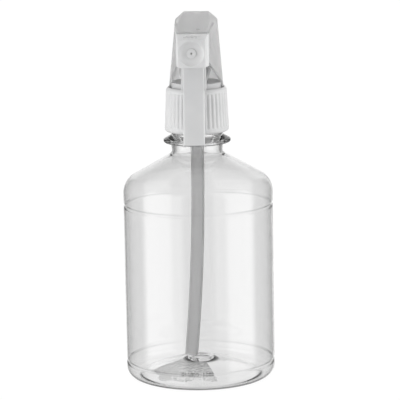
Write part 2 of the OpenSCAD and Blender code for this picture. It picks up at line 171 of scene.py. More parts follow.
def point(name, place):
    """A new object of one point, from which outlines are extruded."""
    only(None)
    bpy.ops.mesh.primitive_plane_add(size=MM, location=(0, 0, 0))
    obj = bpy.context.object
    obj.name = obj.data.name = name
    everything(obj)
    bpy.ops.mesh.merge(type="CENTER")
    bpy.ops.transform.translate(value=Vector(place) * MM)
    return obj


def outline(name, places, closed=True):
    """Points in mm joined one after another by extrude, and back to the first if closed."""
    obj = point(name, places[0])
    for a, b in zip(places, places[1:] + places[:1] if closed else places[1:]):
        step = (Vector(b) - Vector(a)) * MM
        bpy.ops.mesh.extrude_vertices_move(TRANSFORM_OT_translate={"value": step})
    everything(obj)
    bpy.ops.mesh.remove_doubles(threshold=0.001 * MM)
    return obj


def turned(name, line, steps=96, axis="Z", centre=(0, 0, 0), closed=True):
    """Spins a line of (radius, height along the axis) points in mm."""
    centre = Vector(centre)
    along = AXES[axis]
    out = AXES["Y"] if axis == "X" else AXES["X"]
    obj = outline(name, [centre + out * r + along * h for r, h in line], closed)
    everything(obj)
    bpy.ops.mesh.spin(steps=steps, angle=2 * math.pi, center=centre * MM, axis=along)
    return tidied(obj)


def plate(name, places, pull):
    """A flat outline filled and pulled thick by a vector in mm."""
    obj = outline(name, places)
    everything(obj)
    bpy.ops.mesh.edge_face_add()
    bpy.ops.mesh.extrude_region_move(TRANSFORM_OT_translate={"value": Vector(pull) * MM})
    return tidied(obj)


def block(name, low, high):
    """A box between two corners in mm, as a start for more work."""
    low, high = Vector(low), Vector(high)
    only(None)
    bpy.ops.mesh.primitive_cube_add(size=1, location=(low + high) / 2 * MM,
                                    scale=(high - low) * MM)
    obj = only(bpy.context.object)
    obj.name = obj.data.name = name
    bpy.ops.object.transform_apply(location=True, rotation=True, scale=True)
    return obj


def copied(obj, name, by=(0, 0, 0), size=1):
    """A copy with its own mesh, sized about the origin and moved by a vector in mm."""
    only(obj)
    bpy.ops.object.duplicate()
    twin = only(bpy.context.object)
    twin.name = twin.data.name = name
    everything(twin)
    bpy.ops.transform.resize(value=(size, size, size), center_override=(0, 0, 0))
    bpy.ops.transform.translate(value=Vector(by) * MM)
    return only(twin)


def joined(obj, *others):
    only(obj)
    for o in others:
        o.select_set(True)
    bpy.ops.object.join()
    return obj


def cut(obj, tool, operation="DIFFERENCE"):
    """Cuts one closed shape from another, or welds it on with UNION, and removes the tool."""
    apply(obj, "BOOLEAN", object=tool, operation=operation, solver="EXACT")
    bpy.data.objects.remove(tool)
    return obj


def arc(centre, r, a0, a1, n=8):
    """Points of an arc in a plane, in degrees."""
    return [(centre[0] + r * math.cos(math.radians(a0 + (a1 - a0) * i / n)),
             centre[1] + r * math.sin(math.radians(a0 + (a1 - a0) * i / n)))
            for i in range(n + 1)]


# %% [markdown]
# ## Finishes
# White polypropylene is never one flat colour: the mould leaves a fine satin grain, and a thick
# spot scatters light in a slightly different tone. Both come from noise on Object coordinates,
# so they stay put on the piece. Blown PET is a clear shell with long, faint waves in its wall;
# those waves are what makes the edges draw irregular dark and light lines.

# %% Material helpers
def new_material(name, color, **sockets):
    """A Principled material whose constant values sit on the shader's own sockets."""
    made = bpy.data.materials.new(name)
    made.use_nodes = True
    shader = made.node_tree.nodes["Principled BSDF"]
    shader.inputs["Base Color"].default_value = (*color, 1)
    shader.inputs["Subsurface Radius"].default_value = (1, 1, 1)
    for key, value in sockets.items():
        shader.inputs[key.replace("_", " ")].default_value = value
    return made, made.node_tree, shader


def noise(tree, scale, detail=2.0, stretch=(1, 1, 1)):
    """Noise on Object coordinates, with a Mapping node to stretch it. Scale is per metre."""
    nodes, links = tree.nodes, tree.links
    place, fit, grain = (nodes.new(f"ShaderNode{n}") for n in ("TexCoord", "Mapping", "TexNoise"))
    fit.inputs["Scale"].default_value = stretch
    grain.inputs["Scale"].default_value = scale
    grain.inputs["Detail"].default_value = detail
    links.new(place.outputs["Object"], fit.inputs["Vector"])
    links.new(fit.outputs["Vector"], grain.inputs["Vector"])
    return grain


def shades(tree, source, dark, light, low=0.3, high=0.7):
    """A noise turned into a colour between two tones."""
    ramp = tree.nodes.new("ShaderNodeValToRGB")
    ramp.color_ramp.elements[0].position, ramp.color_ramp.elements[1].position = low, high
    ramp.color_ramp.elements[0].color = (*dark, 1)
    ramp.color_ramp.elements[1].color = (*light, 1)
    tree.links.new(source.outputs["Fac"], ramp.inputs["Fac"])
    return ramp.outputs["Color"]


def between(tree, source, low, high):
    """A noise turned into a number between low and high."""
    span = tree.nodes.new("ShaderNodeMapRange")
    span.inputs["To Min"].default_value, span.inputs["To Max"].default_value = low, high
    tree.links.new(source.outputs["Fac"], span.inputs["Value"])
    return span.outputs["Result"]


def eased(tree, value, start, end, low, high):
    """A number that eases from low to high while a value goes from start to end."""
    span = tree.nodes.new("ShaderNodeMapRange")
    span.interpolation_type = "SMOOTHSTEP"
    for key, number in (("From Min", start), ("From Max", end), ("To Min", low), ("To Max", high)):
        span.inputs[key].default_value = number
    tree.links.new(value, span.inputs["Value"])
    return span.outputs["Result"]


def bumped(tree, shader, source, depth, strength=0.5, under=None):
    """Raises the surface by a noise, to a depth in mm."""
    bump = tree.nodes.new("ShaderNodeBump")
    bump.inputs["Strength"].default_value = strength
    bump.inputs["Distance"].default_value = depth * MM
    tree.links.new(source.outputs["Fac"], bump.inputs["Height"])
    if under:
        tree.links.new(under.outputs["Normal"], bump.inputs["Normal"])
    tree.links.new(bump.outputs["Normal"], shader.inputs["Normal"])
    return bump


def moulded(name, dark, light, rough=(0.34, 0.44), grain=0.012, **sockets):
    """Injection-moulded plastic: cloudy tone, uneven gloss and a fine satin grain."""
    made, tree, shader = new_material(name, light, **sockets)
    cloud = noise(tree, 90, 3)
    tree.links.new(shades(tree, cloud, dark, light), shader.inputs["Base Color"])
    tree.links.new(between(tree, noise(tree, 400, 2), *rough), shader.inputs["Roughness"])
    flow = bumped(tree, shader, noise(tree, 120, 1), 0.05, 0.25)
    bumped(tree, shader, noise(tree, 4200, 2), grain, 0.35, under=flow)
    return made


# %% The finishes
white_pp = moulded("white moulded plastic", (0.76, 0.765, 0.77), (0.81, 0.81, 0.81),
                   Subsurface_Weight=0.25, Subsurface_Scale=0.003, IOR=1.49)
shroud_pp = moulded("white shroud plastic", (0.95, 0.95, 0.95), (0.98, 0.98, 0.98), (0.4, 0.5),
                    Transmission_Weight=0.65, IOR=1.2)
cap_pp = moulded("white glossy plastic", (0.82, 0.825, 0.83), (0.87, 0.87, 0.87), (0.25, 0.33), 0.006,
                 Subsurface_Weight=0.25, Subsurface_Scale=0.002, IOR=1.5)
core_pp = moulded("white inner plastic", (0.62, 0.625, 0.63), (0.68, 0.68, 0.68),
                  Subsurface_Weight=0.25, Subsurface_Scale=0.003, IOR=1.49)
seal_pe = moulded("soft seal plastic", (0.66, 0.68, 0.7), (0.76, 0.78, 0.79), rough=(0.45, 0.6),
                  Subsurface_Weight=0.3, Subsurface_Scale=0.002)
rubber = moulded("seal rubber", (0.02, 0.02, 0.022), (0.045, 0.045, 0.048), rough=(0.55, 0.7))


def clear_plastic(name, waves, rough, color=(1, 1, 1), **sockets):
    """A clear wall with long faint waves, from how it was blown or drawn."""
    made, tree, shader = new_material(name, color, Transmission_Weight=1.0, Roughness=rough,
                                      **sockets)
    long_wave = bumped(tree, shader, noise(tree, 22, 1.5, (1, 1, 0.35)), waves, 0.6)
    bumped(tree, shader, noise(tree, 160, 2), waves * 0.06, 0.5, under=long_wave)
    return made


PET_IOR = 1.575
clear_pet = clear_plastic("clear blown plastic", 0.5, 0.0, (0.95, 0.95, 0.95), IOR=PET_IOR)


def milky_tube():
    made, tree, shader = new_material("milky tube plastic", (0.9, 0.9, 0.9), IOR=1.12,
                                      Transmission_Weight=0.8)
    drawn = noise(tree, 260, 3, (1, 1, 0.06))
    tree.links.new(shades(tree, drawn, (0.97, 0.97, 0.97), (1, 1, 1)),
                   shader.inputs["Base Color"])
    tree.links.new(between(tree, drawn, 0.28, 0.4), shader.inputs["Roughness"])
    bumped(tree, shader, drawn, 0.04, 0.4)
    return made


milky_pe = milky_tube()


def wire_steel():
    made, tree, shader = new_material("bright spring steel", (0.62, 0.62, 0.63), Metallic=1.0)
    drawn = noise(tree, 1500, 3, (1, 0.1, 1))
    tree.links.new(shades(tree, drawn, (0.5, 0.5, 0.51), (0.68, 0.68, 0.69)),
                   shader.inputs["Base Color"])
    tree.links.new(between(tree, drawn, 0.2, 0.38), shader.inputs["Roughness"])
    bumped(tree, shader, drawn, 0.01, 0.3)
    return made


steel = wire_steel()
print("finishes:", [m.name for m in bpy.data.materials])

# %% [markdown]
# ## Handing a piece over
# A finished piece takes its finish, rides on the body of the solid it stands for and hides that
# solid. Its object stays at the origin with its place in its mesh.

# %% Hand-over
pieces = []


def hand_over(obj, node, material):
    """Finishes a piece: its material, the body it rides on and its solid."""
    only(obj)
    obj.data.materials.clear()
    obj.data.materials.append(material)
    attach(obj, frame["nodes"][node]["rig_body"])
    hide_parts(node)
    pieces.append(obj)
    print(obj.name, "for", node, "with", len(obj.data.polygons), "faces")
    return obj


# %% [markdown]
# ## The bottle
# A blown bottle is a lathe form, so half of its section is drawn once: the pushed-up dome, the
# foot ring, the heel, two shallow grooves, the shoulder, the thick neck with its support ring,
# over the mouth and back down inside. Spinning a closed section gives a wall with two real
# surfaces, which clear plastic needs to bend light as it should. The alternative, one surface
# with a Solidify modifier, can't make the neck thick and the body thin.

# %% Bottle section
BODY_R, SHOULDER_Z, SHOULDER_R, SLOPE = 36.7, 92.5, 9.5, 30
HEEL_R, FOOT_IN, DOME_H = 5.0, 29.5, 7.7
GROOVES, GROOVE_HALF, GROOVE_DEEP = (8.3, 86.6), 1.4, 0.6
NECK_R, BORE_R, FILLET_R, MOUTH_Z = 12.5, 10.85, 2.5, 137.0
RING_Z, RING_R, RING_T, RING_CONE = 117.2, 16.5, 1.8, 2.0
WALL, BASE_WALL = 0.5, 1.0
DOME_R = (FOOT_IN ** 2 + DOME_H ** 2) / (2 * DOME_H)
DOME_C = DOME_H - DOME_R


def groove(z, w):
    return [(BODY_R - w - GROOVE_DEEP * (1 + math.cos(math.pi * s / 6)) / 2,
             z + GROOVE_HALF * s / 6) for s in range(-6, 7)]


def wall_line(w, ws, wn):
    """The blown wall from heel to neck: w inside the outer surface up to the shoulder, then
    growing to ws where the slope meets the neck and wn in the neck."""
    normal = 90 - SLOPE
    n = math.radians(normal)
    start = (BODY_R - SHOULDER_R + SHOULDER_R * math.cos(n),
             SHOULDER_Z + SHOULDER_R * math.sin(n))
    fillet_z = start[1] + (FILLET_R - (NECK_R + FILLET_R - start[0]) * math.cos(n)) / math.sin(n)
    line = arc((BODY_R - HEEL_R, HEEL_R), HEEL_R - w, -90, 0, 14)
    line += groove(GROOVES[0], w)
    line += [(BODY_R - w, z) for z in (14, 24, 36, 48, 60, 72, 82)]
    line += groove(GROOVES[1], w)
    line += arc((BODY_R - SHOULDER_R, SHOULDER_Z), SHOULDER_R - w, 0, normal, 16)
    steps = 12
    neck = [(NECK_R + FILLET_R + (FILLET_R + ws + (wn - ws) * i / steps) * math.cos(b),
             fillet_z + (FILLET_R + ws + (wn - ws) * i / steps) * math.sin(b))
            for i in range(steps + 1) for b in [math.pi + n * (1 - i / steps)]]
    last, first = line[-1], neck[0]
    line += [(last[0] + (first[0] - last[0]) * t, last[1] + (first[1] - last[1]) * t)
             for t in (0.2, 0.4, 0.6, 0.8)]
    return line + neck


def dome_line(r, z, n=22):
    a = math.acos((z - DOME_C) / r)
    return [(r * math.sin(a * i / n), DOME_C + r * math.cos(a * i / n)) for i in range(n + 1)]


def gate(line, rise):
    """Lifts a dome line into a low crater round the gate at its centre."""
    return [(r, z + rise * math.exp(-((r - 5.9) / 1.7) ** 2)) for r, z in line]


def bottle_section():
    dome_out = dome_line(DOME_R, 0)
    dome_in = gate(dome_line(DOME_R + BASE_WALL, WALL, 44), 0.9)
    rim = arc((RING_R - RING_T / 2, RING_Z + RING_T / 2), RING_T / 2, -80, 70, 10)
    outside = (dome_out + wall_line(0, 0, 0)
               + [(NECK_R + 0.3, RING_Z - 0.25), (NECK_R + 0.8, RING_Z)] + rim
               + [(NECK_R + 0.5, RING_Z + RING_T + RING_CONE - 0.4),
                  (NECK_R, RING_Z + RING_T + RING_CONE + 0.3), (NECK_R, 128)])
    mouth = (arc((NECK_R - 0.5, MOUTH_Z - 0.5), 0.5, 0, 90, 5)
             + arc((BORE_R + 0.4, MOUTH_Z - 0.4), 0.4, 90, 180, 4))
    return outside + mouth + wall_line(WALL, 1.25, NECK_R - BORE_R)[::-1] + dome_in[::-1]


# %% Spin the bottle
bottle = turned("bottle_shell", bottle_section(), 144, closed=False)
print("bottle", [round(v / MM, 1) for v in bottle.dimensions])

# %% [markdown]
# The thread is a bar wound round the neck. A Screw modifier turns a small closed outline one
# and a half times while it climbs, which is exactly what a thread is. Its ends are closed and
# pinched, so that they fade into the neck. The closure has the same thread the other way out.

# %% Threads
PITCH, TURNS, THREAD_LOW = 4.23, 1.5, 128.255
CLOSURE_BORE, AIR = 14.0, 0.4


def thread(name, section, low, root):
    obj = outline(name, [(r, 0, z) for r, z in section])
    only(obj)
    apply(obj, "SCREW", axis="Z", angle=2 * math.pi * TURNS, screw_offset=PITCH * TURNS * MM,
          steps=96, render_steps=96, use_normal_calculate=True)
    count = len(section)
    total = len(obj.data.vertices)
    for end in (range(count), range(total - count, total)):
        pick(obj, "VERT", lambda p, v: v.index in end)
        bpy.ops.mesh.edge_face_add()
        middle = sum((obj.data.vertices[i].co for i in end), Vector()) / count
        bpy.ops.transform.resize(value=(1, 1, 0.3), center_override=middle)
        away = Vector((middle.x, middle.y, 0)).normalized() * (root * MM - middle.xy.length)
        bpy.ops.transform.translate(value=away)
    everything(obj)
    bpy.ops.transform.translate(value=(0, 0, low * MM))
    return tidied(obj, 50)


neck_thread = thread("neck_thread", [(NECK_R + 0.02, -1.2), (NECK_R + 1.1, -0.5),
                                     (NECK_R + 1.1, 0.5), (NECK_R + 0.02, 1.2)],
                     THREAD_LOW, NECK_R + 0.1)
print("thread", len(neck_thread.data.polygons), "faces")

# %% [markdown]
# The pushed-up base carries a short row of small raised marks, which tell the mould apart, and
# a stippled patch round them. A mark is modelled once and copied along an arc, each copy with
# its own mesh. The stipple is far too fine to model, so it is a second finish on those faces.

# %% Marks on the base
MARK_AT, MARK_FIRST, MARK_STEP, MARKS, MARK_GAP = 20.5, -113, 4.2, 11, 6
MARK_SIZES = (0.75, 0.5, 0.62)


def pips():
    """A row of half-sunk beads along an arc of the dome, with a gap in it."""
    only(None)
    bpy.ops.mesh.primitive_uv_sphere_add(segments=12, ring_count=8, radius=MM)
    bead = only(bpy.context.object)
    dome_z = DOME_C + math.sqrt((DOME_R + BASE_WALL) ** 2 - MARK_AT ** 2)
    row = []
    for i in range(MARKS):
        if i == MARK_GAP:
            continue
        a, size = math.radians(MARK_FIRST + MARK_STEP * i), MARK_SIZES[i % len(MARK_SIZES)]
        place = (MARK_AT * math.cos(a), MARK_AT * math.sin(a), dome_z - size * 0.3)
        row.append(copied(bead, f"mark_{i}", place, size))
    bpy.data.objects.remove(bead)
    return row


bottle = joined(bottle, neck_thread, *pips())
tidied(bottle, 50, merge=0)


# %% Stippled patch
def stippled_plastic():
    """The same plastic where the mould was etched: grain and tone from one noise."""
    made, tree, shader = new_material("stippled clear plastic", (0.9, 0.9, 0.9),
                                      Transmission_Weight=1.0, Roughness=0.04, IOR=PET_IOR)
    grain = noise(tree, 900, 3)
    tree.links.new(shades(tree, grain, (0.55, 0.55, 0.55), (1, 1, 1), 0.38, 0.62),
                   shader.inputs["Base Color"])
    bumped(tree, shader, grain, 0.5, 1.0)
    return made


def in_patch(p):
    """The ragged patch on the front left of the dome."""
    turn = math.degrees(math.atan2(p.y, p.x))
    edge = 2.2 * math.sin(math.radians(turn * 5)) + 1.2 * math.sin(math.radians(turn * 13))
    return 8.5 < p.xy.length < 26.5 + edge * 0.5 and -160 < turn - edge * 1.5 < -70


hand_over(bottle, "bottle", clear_pet)
bottle.data.materials.append(stippled_plastic())
pick(bottle, "FACE", lambda p, f: p.z < GROOVES[0] + 0.7 and f.normal.z > 0.6 and in_patch(p))
bottle.active_material_index = 1
bpy.ops.object.material_slot_assign()
only(bottle)
print("stippled faces:", sum(f.material_index for f in bottle.data.polygons))

# %% [markdown]
# ## The closure
# A screw closure is a lathe form too, with forty soft grip flutes. They are pressed in after
# the spin: the wall has six columns of faces for each flute, and the three inner columns of
# points are moved towards the axis. Moving points keeps the flute round, where a Boolean with
# forty cutters would leave hard edges.

# %% Closure form
CLOSURE_Z, RIM_Z, CLOSURE_R, RIM_R, CROWN_R = 122.75, 144.45, 15.7, 14.85, 13.55
DECK_Z, DECK_TOP, DECK_HOLE = 139.85, 141.65, 9.55
FLUTES, FLUTE_DEEP, FLUTE_R = 40, 0.42, 15.3
FLUTE_LOW, FLUTE_HIGH = 125.2, 142.3


def closure_r(z):
    low = CLOSURE_Z + 1.2
    return CLOSURE_R - (CLOSURE_R - RIM_R) * max(0, z - low) / (RIM_Z - 1.3 - low)


def closure_section():
    heights = [FLUTE_LOW, FLUTE_LOW + 0.3, FLUTE_LOW + 0.7, 130, 135, 139, FLUTE_HIGH - 0.7,
               FLUTE_HIGH - 0.3, FLUTE_HIGH]
    wall = [(closure_r(z), z) for z in heights]
    heel = arc((CLOSURE_R - 1.2, CLOSURE_Z + 1.2), 1.2, -80, 0, 6)
    rim = [(RIM_R, RIM_Z - 1.3), (RIM_R - 0.15, RIM_Z - 0.95), (CROWN_R + 0.45, RIM_Z - 0.12),
           (CROWN_R + 0.2, RIM_Z), (CROWN_R, RIM_Z - 0.2)]
    inner = [(CROWN_R, DECK_TOP + 0.3), (CROWN_R - 0.3, DECK_TOP), (DECK_HOLE + 0.2, DECK_TOP),
             (DECK_HOLE, DECK_TOP - 0.2), (DECK_HOLE, DECK_Z), (CLOSURE_BORE - 0.4, DECK_Z),
             (CLOSURE_BORE, DECK_Z - 0.4), (CLOSURE_BORE, CLOSURE_Z + 0.3),
             (CLOSURE_BORE + 0.3, CLOSURE_Z)]
    return heel + wall + rim + inner


closure = turned("closure_shell", closure_section(), 6 * FLUTES)


def column(p, wanted):
    """Whether a point is in one of the wanted columns, of six per flute."""
    here = math.degrees(math.atan2(p.y, p.x)) / (60 / FLUTES)
    return round(here) % 6 in wanted


def press(depth, wanted, margin):
    """Moves the wanted columns inwards by a depth, between the flutes' ends less a margin."""
    low, high = FLUTE_LOW + margin, FLUTE_HIGH - margin
    pick(closure, "VERT", lambda p, v: low - 0.05 < p.z < high + 0.05
         and p.xy.length > CLOSURE_BORE + 0.2 and column(p, wanted))
    shrink = 1 - depth / FLUTE_R
    bpy.ops.transform.resize(value=(shrink, shrink, 1), center_override=(0, 0, FLUTE_LOW * MM))


press(FLUTE_DEEP * 0.45, (3,), 0.3)
press(FLUTE_DEEP * 0.55, (3,), 0.7)
press(FLUTE_DEEP * 0.35, (2, 4), 0.3)
press(FLUTE_DEEP * 0.4, (2, 4), 0.7)
closure_thread = thread("closure_thread", [(CLOSURE_BORE - 0.02, 1.2), (NECK_R + AIR, 0.5),
                                           (NECK_R + AIR, -0.5), (CLOSURE_BORE - 0.02, -1.2)],
                        THREAD_LOW - PITCH / 2, CLOSURE_BORE - 0.1)
closure = joined(closure, closure_thread)
tidied(closure, 50, merge=0)
hand_over(closure, "closure", white_pp)

# %% [markdown]
# ## The shroud
# The shroud is a thin folded shell: a flat roof that widens towards the nozzle, canted
# shoulders at the back, and sides that flare into a round skirt. The outer form is the tightest
# skin round a few simple shapes, which the convex hull operator finds. Its edges are rounded,
# the same form moved in by the wall is cut out of it, and a slanted cut opens it for the trigger.

# %% Shroud form
FRONT_Y, FRONT_LOW, FRONT_TOP = -31.5, 160.25, 175.05
REAR_Y, TAIL_Y, REAR_TOP = 12.0, 20.0, 179.8
SKIRT_R, SKIRT_LOW, SKIRT_TOP = 13.2, 141.7, 144.85
SHELL_WALL, OPENING_Z = 1.0, 146.6


def corner_box(half, y0, y1, z0, z1):
    """A box across the middle plane, whose corners become corners of the form."""
    bpy.ops.mesh.primitive_cube_add(size=1, location=(0, (y0 + y1) / 2 * MM, (z0 + z1) / 2 * MM),
                                    scale=(2 * half * MM, (y1 - y0) * MM, (z1 - z0) * MM))


def shroud_form():
    only(None)
    bpy.ops.mesh.primitive_circle_add(vertices=96, radius=SKIRT_R * MM,
                                      location=(0, 0, SKIRT_TOP * MM))
    obj = only(bpy.context.object)
    obj.name = obj.data.name = "shroud_shell"
    bpy.ops.object.transform_apply(location=True, rotation=True, scale=True)
    bpy.ops.object.mode_set(mode="EDIT")
    # the frame round the nozzle: its foot and its top
    corner_box(7.5, FRONT_Y, FRONT_Y + 1, FRONT_LOW, FRONT_LOW + 4)
    corner_box(7.3, FRONT_Y, FRONT_Y + 0.5, FRONT_TOP - 3, FRONT_TOP)
    # the roof where it is widest, and its rear edge
    corner_box(7.6, -9.5, -9, 176.5, 177.55)
    corner_box(6.1, REAR_Y - 0.5, REAR_Y, REAR_TOP - 0.5, REAR_TOP)
    # the shoulders, and the tail below them
    corner_box(10.3, REAR_Y - 1.5, REAR_Y, REAR_TOP - 11, REAR_TOP - 3.7)
    corner_box(7.4, TAIL_Y - 1, TAIL_Y, REAR_TOP - 17, REAR_TOP - 9)
    bpy.ops.mesh.select_all(action="SELECT")
    bpy.ops.mesh.convex_hull(use_existing_faces=False, join_triangles=False)
    bpy.ops.mesh.select_all(action="SELECT")
    bpy.ops.mesh.dissolve_limited(angle_limit=math.radians(1.5))
    bpy.ops.object.mode_set(mode="OBJECT")
    return obj


shroud = shroud_form()
print("shroud form", len(shroud.data.polygons), "faces")


# %% Round its edges and give it a wall
def sharp_edges(obj, angle):
    """Indices of the edges whose two faces meet at more than an angle in degrees."""
    normals = {}
    for f in obj.data.polygons:
        for key in f.edge_keys:
            normals.setdefault(key, []).append(f.normal)
    return {e.index for e in obj.data.edges
            if len(normals.get(e.key, [])) == 2
            and math.degrees(normals[e.key][0].angle(normals[e.key][1])) > angle}


def with_skirt(obj):
    """The round foot of the form, pulled straight down onto the closure's deck."""
    pick(obj, "FACE", lambda p, f: p.z < SKIRT_TOP + 0.1 and f.normal.z < -0.9)
    bpy.ops.mesh.extrude_region_move(
        TRANSFORM_OT_translate={"value": (0, 0, (SKIRT_LOW - SKIRT_TOP) * MM)})
    return tidied(obj)


def inner_form(obj, wall):
    """The hollow: the same form with every face moved in by the wall."""
    hollow = copied(obj, "hollow")
    everything(hollow)
    bpy.ops.transform.shrink_fatten(value=-wall * MM, use_even_offset=True)
    pick(hollow, "VERT", lambda p, v: p.z < SKIRT_LOW + 1.5)
    bpy.ops.transform.translate(value=(0, 0, -3 * MM))
    return hollow


shroud = with_skirt(shroud)
hollow = inner_form(shroud, SHELL_WALL)
wanted = sharp_edges(shroud, 12)
pick(shroud, "EDGE", lambda p, e: e.index in wanted and p.z > SKIRT_TOP + 1)
bpy.ops.mesh.bevel(offset=0.4 * MM, segments=3, profile=0.5, clamp_overlap=True)


# %% Side panels, window and opening
def side_panel(side):
    """The raised front part of a flank. It ends in a soft notch above the trigger. It starts
    inside the flank and is turned by as much as the flank flares."""
    line = [(-31.3, 174.4), (-31.3, 167.8), (-30.8, 167.0), (-27.5, 166.6), (-24.5, 167.0),
            (-22.6, 168.2), (-20.8, 169.8), (-17.5, 171.8), (-12, 174.2), (-7.5, 176.0),
            (-9, 176.4), (-20, 175.6)]
    obj = plate(f"panel_{side}", [(side * 6.8, y, z) for y, z in line], (side * 1.1, 0, 0))
    pick(obj, "VERT", lambda p, v: abs(p.x) > 7.5)
    bpy.ops.transform.rotate(value=side * math.radians(4.5), orient_axis="Z",
                             center_override=(side * 7.9 * MM, -31.3 * MM, 0))
    apply(obj, "BEVEL", width=0.3 * MM, segments=3, limit_method="ANGLE",
          angle_limit=math.radians(40))
    return tidied(obj)


for side in (-1, 1):
    cut(shroud, side_panel(side), "UNION")
cut(shroud, hollow)
cut(shroud, block("window", (-6.5, FRONT_Y - 1, FRONT_LOW - 1), (6.5, FRONT_Y + 3, 174.05)))
opening = [(FRONT_Y - 1, 138), (FRONT_Y - 1, FRONT_LOW - 0.3), (FRONT_Y + 2.5, FRONT_LOW - 0.3),
           (-2, OPENING_Z), (-2, 138)]
cut(shroud, plate("opening", [(-30, y, z) for y, z in opening], (60, 0, 0)))
ridge = block("ridge", (1.7, -27.2, 175.2), (3.4, -26.0, 176.1))
apply(ridge, "BEVEL", width=0.15 * MM, segments=2)
shroud = joined(shroud, ridge)
apply(shroud, "BEVEL", width=0.15 * MM, segments=2, limit_method="ANGLE",
      angle_limit=math.radians(55))
tidied(shroud, 30, merge=0)
hand_over(shroud, "shroud", shroud_pp)

# %% [markdown]
# ## The nozzle cap
# The cap is a block that narrows towards the front, with a round dish sunk in its face and a
# bore behind. The block's edges are rounded while it is still simple, then a turned tool cuts
# dish and bore in one pass, with the soft lip already in the tool's section.

# %% Nozzle cap
SPRAY_Z, NOZZLE_Y, NOZZLE_REAR_Y = 166.5, -46.0, -32.3
NOZZLE_FRONT, NOZZLE_REAR = 13.3, 15.5
BOSS_Y = -42.05


def nozzle_cap():
    half, rear = NOZZLE_FRONT / 2, NOZZLE_REAR / 2
    obj = block("nozzle_shell", (-rear, NOZZLE_Y, SPRAY_Z - rear),
                (rear, NOZZLE_REAR_Y - 1.6, SPRAY_Z + rear))
    pick(obj, "FACE", lambda p, f: f.normal.y < -0.9)
    bpy.ops.transform.resize(value=(half / rear, 1, half / rear),
                             center_override=(0, NOZZLE_Y * MM, SPRAY_Z * MM))
    pick(obj, "FACE", lambda p, f: f.normal.y > 0.9)
    bpy.ops.mesh.extrude_region_move(TRANSFORM_OT_translate={"value": (0, 1.6 * MM, 0)})
    pick(obj, "EDGE", lambda p, e: abs(p.x) > 6 and abs(p.z - SPRAY_Z) > 6)
    bpy.ops.mesh.bevel(offset=0.8 * MM, segments=4)
    pick(obj, "EDGE", lambda p, e: p.y < NOZZLE_Y + 0.01 or p.y > NOZZLE_REAR_Y - 0.01)
    bpy.ops.mesh.bevel(offset=0.3 * MM, segments=2)
    tool = turned("dish_tool", [(0, NOZZLE_Y - 2), (7.5, NOZZLE_Y - 2), (6.15, NOZZLE_Y - 0.05)]
                  + [(5.9, NOZZLE_Y + 0.15), (5.65, NOZZLE_Y + 0.7), (5.0, NOZZLE_Y + 1.25),
                     (3.8, NOZZLE_Y + 1.6), (2.7, NOZZLE_Y + 1.7), (2.35, NOZZLE_Y + 1.8)]
                  + [(2.35, BOSS_Y), (5.3, BOSS_Y), (5.3, -30), (0, -30)], 96, "Y",
                  (0, 0, SPRAY_Z))
    return tidied(cut(obj, tool), 30)


nozzle = nozzle_cap()
print("nozzle", [round(v / MM, 1) for v in nozzle.dimensions])

# %% [markdown]
# Moulders put a small relief on the cap's faces, so that a wet thumb can turn it and see which
# way it stands. Here it is a row of short slanted bars, modelled once and copied.

# %% Relief bars on the cap
def relief_bars(count=4, gap=1.9, long=4.4, wide=0.8, lean=1.4):
    slope = math.atan((NOZZLE_REAR - NOZZLE_FRONT) / 2 / (NOZZLE_REAR_Y - 1.6 - NOZZLE_Y))
    middle = (NOZZLE_Y + NOZZLE_REAR_Y) / 2 - 0.3
    top = SPRAY_Z + NOZZLE_FRONT / 2 + (middle - NOZZLE_Y) * math.tan(slope)
    first = -(count - 1) / 2 * gap
    front, back = middle - long / 2, middle + long / 2
    line = [(first - lean / 2 - wide / 2, front), (first - lean / 2 + wide / 2, front),
            (first + lean / 2 + wide / 2, back), (first + lean / 2 - wide / 2, back)]
    bar = plate("bar", [(x, y, top - 0.4) for x, y in line], (0, 0, 0.75))
    everything(bar)
    bpy.ops.transform.rotate(value=-slope, orient_axis="X",
                             center_override=(0, middle * MM, top * MM))
    apply(bar, "BEVEL", width=0.08 * MM, segments=2)
    return [bar] + [copied(bar, f"bar_{i}", (i * gap, 0, 0)) for i in range(1, count)]


nozzle = joined(nozzle, *relief_bars())
tidied(nozzle, 30, merge=0)
hand_over(nozzle, "nozzle_cap", cap_pp)

# %% [markdown]
# The orifice insert is a tiny turned plug in the dish, with a rounded nose and a pinhole.

# %% Orifice insert
insert = turned("orifice_plug",
                [(0.35, -44.3), (0.62, -44.72), (0.9, -44.86)]
                + arc((2.15, -44.7), 0.15, -90, 0, 3) + [(2.3, -42.1), (0.35, -42.1)],
                48, "Y", (0, 0, SPRAY_Z))
hand_over(insert, "orifice_insert", cap_pp)

# %% [markdown]
# ## The trigger
# The lever's front is a bar of U section bent along a large arc: the section is drawn flat at
# the top and spun part of a turn about the arc's centre. The two fork arms are plates cut to a
# side view, with a round hole for the trunnion, and a bridge with a rolled pad pushes the
# piston.

# %% Trigger
CURVE_Y, CURVE_Z, CURVE_R = -101.0, 147.0, 72.0
TRIGGER_TOP, TRIGGER_LOW, TRIGGER_W, TRIGGER_T, FLANK_T, FLANK = 158.0, 121.0, 10.2, 2.2, 1.4, 2.0
PIVOT_Y, PIVOT_Z, PUMP_Z = -22.0, 168.5, 154.0
FORK_IN, FORK_T, TRUNNION_R = 4.4, 1.5, 1.6


